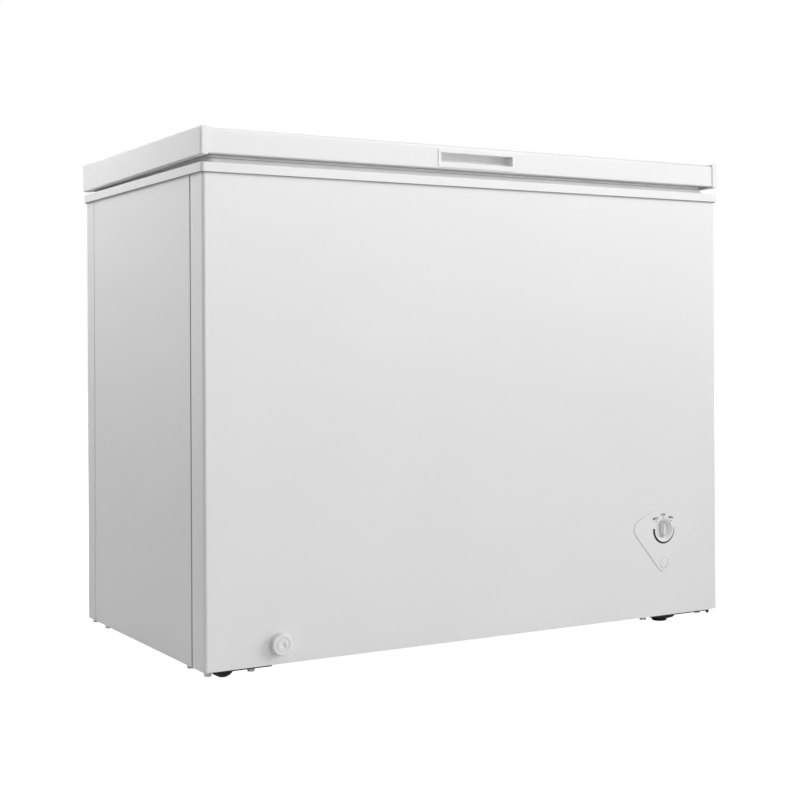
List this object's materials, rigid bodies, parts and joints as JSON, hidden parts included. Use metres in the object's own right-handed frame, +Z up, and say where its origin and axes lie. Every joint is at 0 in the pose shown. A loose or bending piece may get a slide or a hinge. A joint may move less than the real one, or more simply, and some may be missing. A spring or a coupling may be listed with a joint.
{
  "type": "chest freezer",
  "caption": "White chest freezer with a foamed cabinet, hinged lid with recessed grip, dial thermostat, drain, hanging basket, rollers and levelling feet.",
  "frame": {"origin": "on the floor, at the centre of the whole freezer's footprint", "axes": "+X to the right along the cabinet's width, +Y from the front to the rear, +Z up"},
  "size_m": [1.044, 0.583, 0.8525],
  "materials": {
    "white_steel": "white powder-coated sheet steel, low gloss",
    "white_plastic": "white moulded plastic, fine grain",
    "liner": "white formed plastic liner",
    "gasket": "mid-grey soft seal",
    "foam": null,
    "zinc_steel": "zinc-plated steel",
    "black_plastic": "black moulded plastic",
    "black_steel": "black enamelled steel",
    "copper": null,
    "aluminium": "drawn aluminium tube",
    "lamp": "white translucent plastic",
    "wheel": "dark hard rubber"
  },
  "bodies": {
    "cabinet": {"front_panel": "white_steel", "rear_panel": "white_steel", "left_side_panel": "white_steel", "right_side_panel": "white_steel", "side_grille": "white_plastic", "rear_access_cover": "zinc_steel", "base_panel": "zinc_steel", "compressor_tray": "zinc_steel", "inner_liner": "liner", "foam_insulation": "foam", "top_frame": "white_plastic", "evaporator_coil": "aluminium", "condenser_coil": "copper", "compressor": "black_steel", "relay_cover": "black_plastic", "discharge_pipe": "copper", "suction_pipe": "copper", "liquid_line": "copper", "filter_drier": "copper", "capillary_tube": "copper", "power_inlet_gland": "black_plastic", "control_bezel": "white_plastic", "thermostat_body": "black_plastic", "thermostat_sensor": "copper", "indicator_lens": "lamp", "indicator_lamp": "black_plastic", "drain_tube": "white_plastic", "roller_bracket_front": "zinc_steel", "roller_bracket_rear": "zinc_steel", "roller_axle_front": "zinc_steel", "roller_axle_rear": "zinc_steel", "foot_bracket_front": "zinc_steel", "foot_bracket_rear": "zinc_steel", "hinge_bracket_left": "zinc_steel", "hinge_bracket_right": "zinc_steel", "hinge_pin_left": "zinc_steel", "hinge_pin_right": "zinc_steel", "hinge_spring_left": "zinc_steel", "hinge_spring_right": "zinc_steel"},
    "lid": {"lid_outer_panel": "white_steel", "lid_end_cap_left": "white_plastic", "lid_end_cap_right": "white_plastic", "lid_inner_liner": "liner", "lid_gasket": "gasket", "lid_foam": "foam", "lid_handle_cup": "white_plastic", "hinge_arm_left": "zinc_steel", "hinge_arm_right": "zinc_steel"},
    "knob": {"thermostat_knob": "white_plastic"},
    "outer_cap": {"drain_outer_cap": "white_plastic"},
    "inner_plug": {"drain_inner_plug": "white_plastic"},
    "front_wheel": {"roller_wheel_front": "wheel"},
    "rear_wheel": {"roller_wheel_rear": "wheel"},
    "front_foot": {"levelling_foot_front": "black_plastic"},
    "rear_foot": {"levelling_foot_rear": "black_plastic"},
    "left_plunger": {"hinge_plunger_left": "black_plastic"},
    "right_plunger": {"hinge_plunger_right": "black_plastic"},
    "hanging_basket": {"basket": "white_steel"}
  },
  "joints": [
    {"name": "lid_hinge", "type": "hinge", "parent": "cabinet", "child": "lid", "pos_m": [0, 0.2825, 0.8], "axis": [-1, 0, 0], "range_deg": [0, 85]},
    {"name": "thermostat_dial", "type": "hinge", "parent": "cabinet", "child": "knob", "pos_m": [0.3868, -0.2795, 0.176], "axis": [0, 1, 0], "range_deg": [-180, 135]},
    {"name": "drain_cap_pull", "type": "slide", "parent": "cabinet", "child": "outer_cap", "axis": [0, -1, 0], "range_m": [0, 0.03]},
    {"name": "drain_plug_lift", "type": "slide", "parent": "cabinet", "child": "inner_plug", "axis": [0, 0, 1], "range_m": [0, 0.04]},
    {"name": "front_roller_spin", "type": "hinge", "parent": "cabinet", "child": "front_wheel", "pos_m": [-0.467, -0.2275, 0.0205], "axis": [0, 1, 0], "continuous": true},
    {"name": "rear_roller_spin", "type": "hinge", "parent": "cabinet", "child": "rear_wheel", "pos_m": [-0.467, 0.2265, 0.0205], "axis": [0, 1, 0], "continuous": true},
    {"name": "front_foot_height", "type": "slide", "parent": "cabinet", "child": "front_foot", "axis": [0, 0, -1], "range_m": [-0.004, 0.012]},
    {"name": "rear_foot_height", "type": "slide", "parent": "cabinet", "child": "rear_foot", "axis": [0, 0, -1], "range_m": [-0.004, 0.012]},
    {"name": "left_plunger_slide", "type": "slide", "parent": "cabinet", "child": "left_plunger", "axis": [0, 0, 1], "range_m": [0, 0.0042], "deforming": ["hinge_spring_left"]},
    {"name": "right_plunger_slide", "type": "slide", "parent": "cabinet", "child": "right_plunger", "axis": [0, 0, 1], "range_m": [0, 0.0042], "deforming": ["hinge_spring_right"]},
    {"name": "basket_slide", "type": "slide", "parent": "cabinet", "child": "hanging_basket", "axis": [-1, 0, 0], "range_m": [0, 0.6]}
  ],
  "couplings": [
    {"joint": "left_plunger_slide", "follows": "lid_hinge", "m_per_rad": 0.0026963},
    {"joint": "right_plunger_slide", "follows": "lid_hinge", "m_per_rad": 0.0026963}
  ]
}
